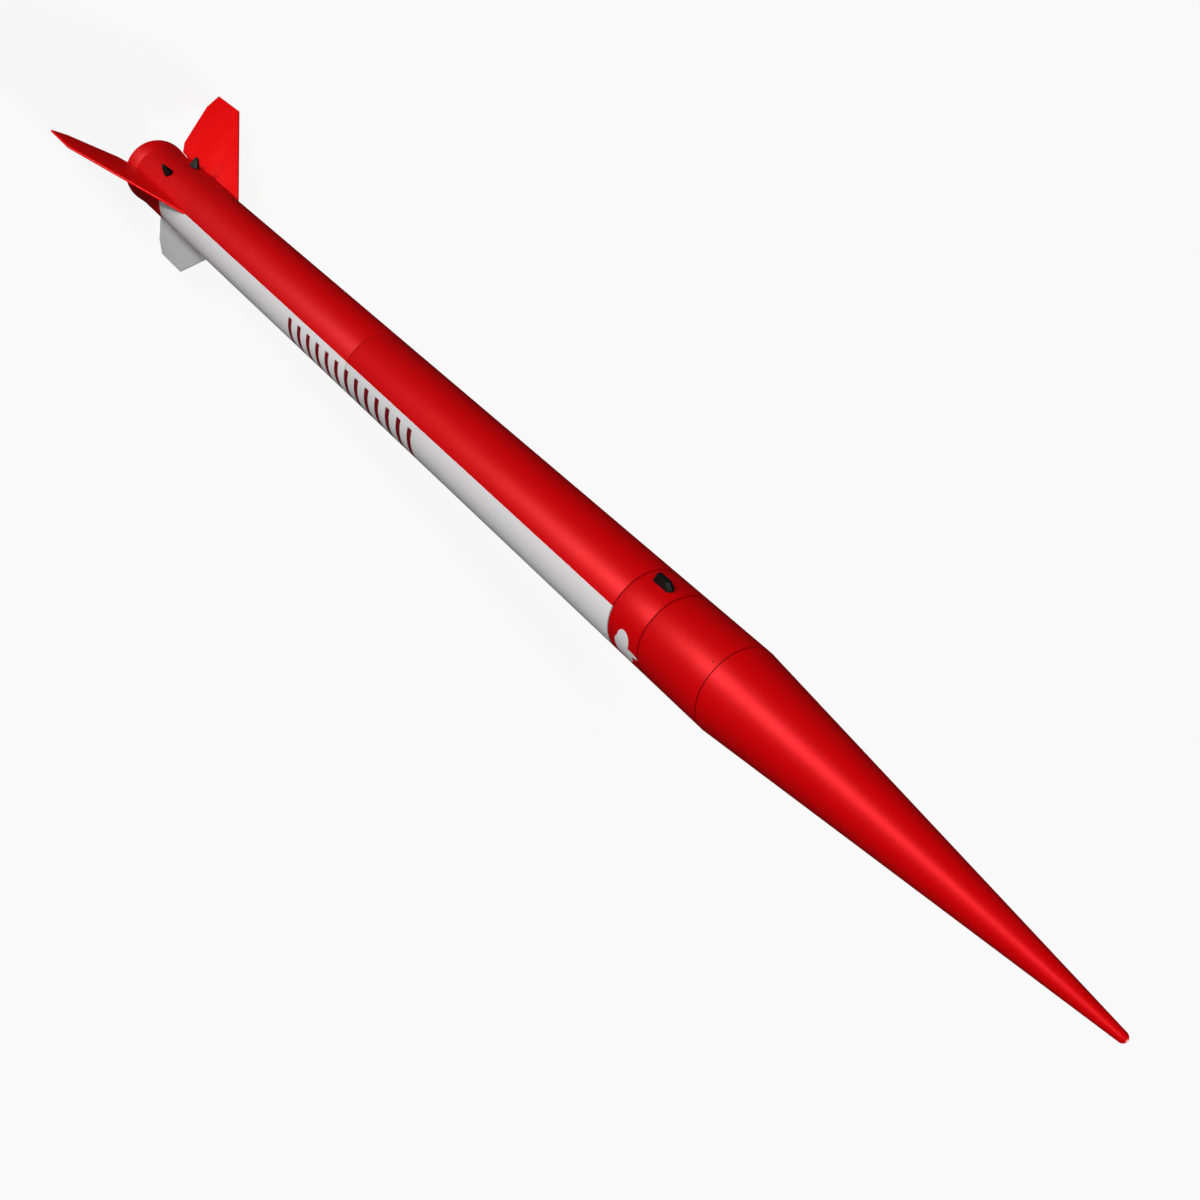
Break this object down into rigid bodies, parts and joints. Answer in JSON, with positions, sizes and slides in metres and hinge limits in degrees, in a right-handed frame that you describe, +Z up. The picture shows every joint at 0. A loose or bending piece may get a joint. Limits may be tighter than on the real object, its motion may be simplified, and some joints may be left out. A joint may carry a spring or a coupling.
{
  "type": "model rocket",
  "caption": "Slender model rocket: glossy red body and pointed nose, swept flat fins, one white, black launch lugs, pull-off nose and payload section, slide-out motor.",
  "frame": {"origin": "on the floor, at the middle of the box around the three fin feet; the body axis stands 16.8 mm towards -Y from it", "axes": "+Z up along the body towards the nose, -Y towards the side with the launch lugs, +Y towards the white fin"},
  "size_m": [0.1198, 0.1038, 0.8884],
  "materials": {
    "red_card": "card tube in glossy red paint",
    "red_plastic": "moulded plastic in glossy red paint",
    "red_wood": "sealed plywood in glossy red paint",
    "white_wood": "sealed plywood in white paint",
    "black_plastic": "satin black moulding",
    "kraft_card": "bare kraft card, spiral wound",
    "plywood": "bare laser-cut plywood",
    "motor_paper": "plain wound paper casing",
    "clay": "pressed clay",
    "charge": "pressed black powder",
    "delay": "pressed delay compound",
    "wadding_paper": "crumpled flameproof tissue",
    "chute_film": "folded canopy film",
    "elastic": "braided elastic cord",
    "mount_paper": "folded paper tab, glued",
    "brass_wire": "bright brass",
    "steel": "bright zinc-plated steel",
    "nose_clay": "modelling clay ballast"
  },
  "bodies": {
    "airframe": {"lower_body_tube": "red_card", "upper_body_tube": "red_card", "body_coupler": "kraft_card", "tail_skirt": "red_plastic", "lug_ring": "red_plastic", "fin_left": "red_wood", "fin_right": "red_wood", "fin_white": "white_wood", "front_lug": "black_plastic", "rear_lug_left": "black_plastic", "rear_lug_right": "black_plastic", "motor_tube": "kraft_card", "centering_ring_aft": "plywood", "centering_ring_middle": "plywood", "centering_ring_front": "plywood", "thrust_ring": "kraft_card", "recovery_wadding": "wadding_paper", "parachute": "chute_film", "shock_cord_mount": "mount_paper", "shock_cord": "elastic", "swivel_barrel": "brass_wire"},
    "swivel_clip": {"swivel_clip": "brass_wire"},
    "motor": {"motor_casing": "motor_paper", "motor_nozzle": "clay", "propellant_grain": "charge", "delay_grain": "delay", "ejection_charge": "charge", "motor_end_cap": "clay"},
    "payload_section": {"payload_tube": "red_card", "payload_shoulder": "black_plastic", "payload_bulkhead": "plywood", "eye_nut": "steel", "screw_eye": "steel"},
    "nose": {"nose_cone": "red_plastic", "nose_weight": "nose_clay"}
  },
  "joints": [
    {"name": "payload_pull", "type": "slide", "parent": "airframe", "child": "payload_section", "axis": [0, 0, 1], "range_m": [0, 0.07], "deforming": ["shock_cord"]},
    {"name": "nose_pull", "type": "slide", "parent": "payload_section", "child": "nose", "axis": [0, 0, 1], "range_m": [0, 0.06]},
    {"name": "motor_slide", "type": "slide", "parent": "airframe", "child": "motor", "axis": [0, 0, -1], "range_m": [0, 0.08]},
    {"name": "swivel_turn", "type": "hinge", "parent": "airframe", "child": "swivel_clip", "pos_m": [0, -0.01682, 0.54997], "axis": [0, 0, 1], "continuous": true}
  ]
}
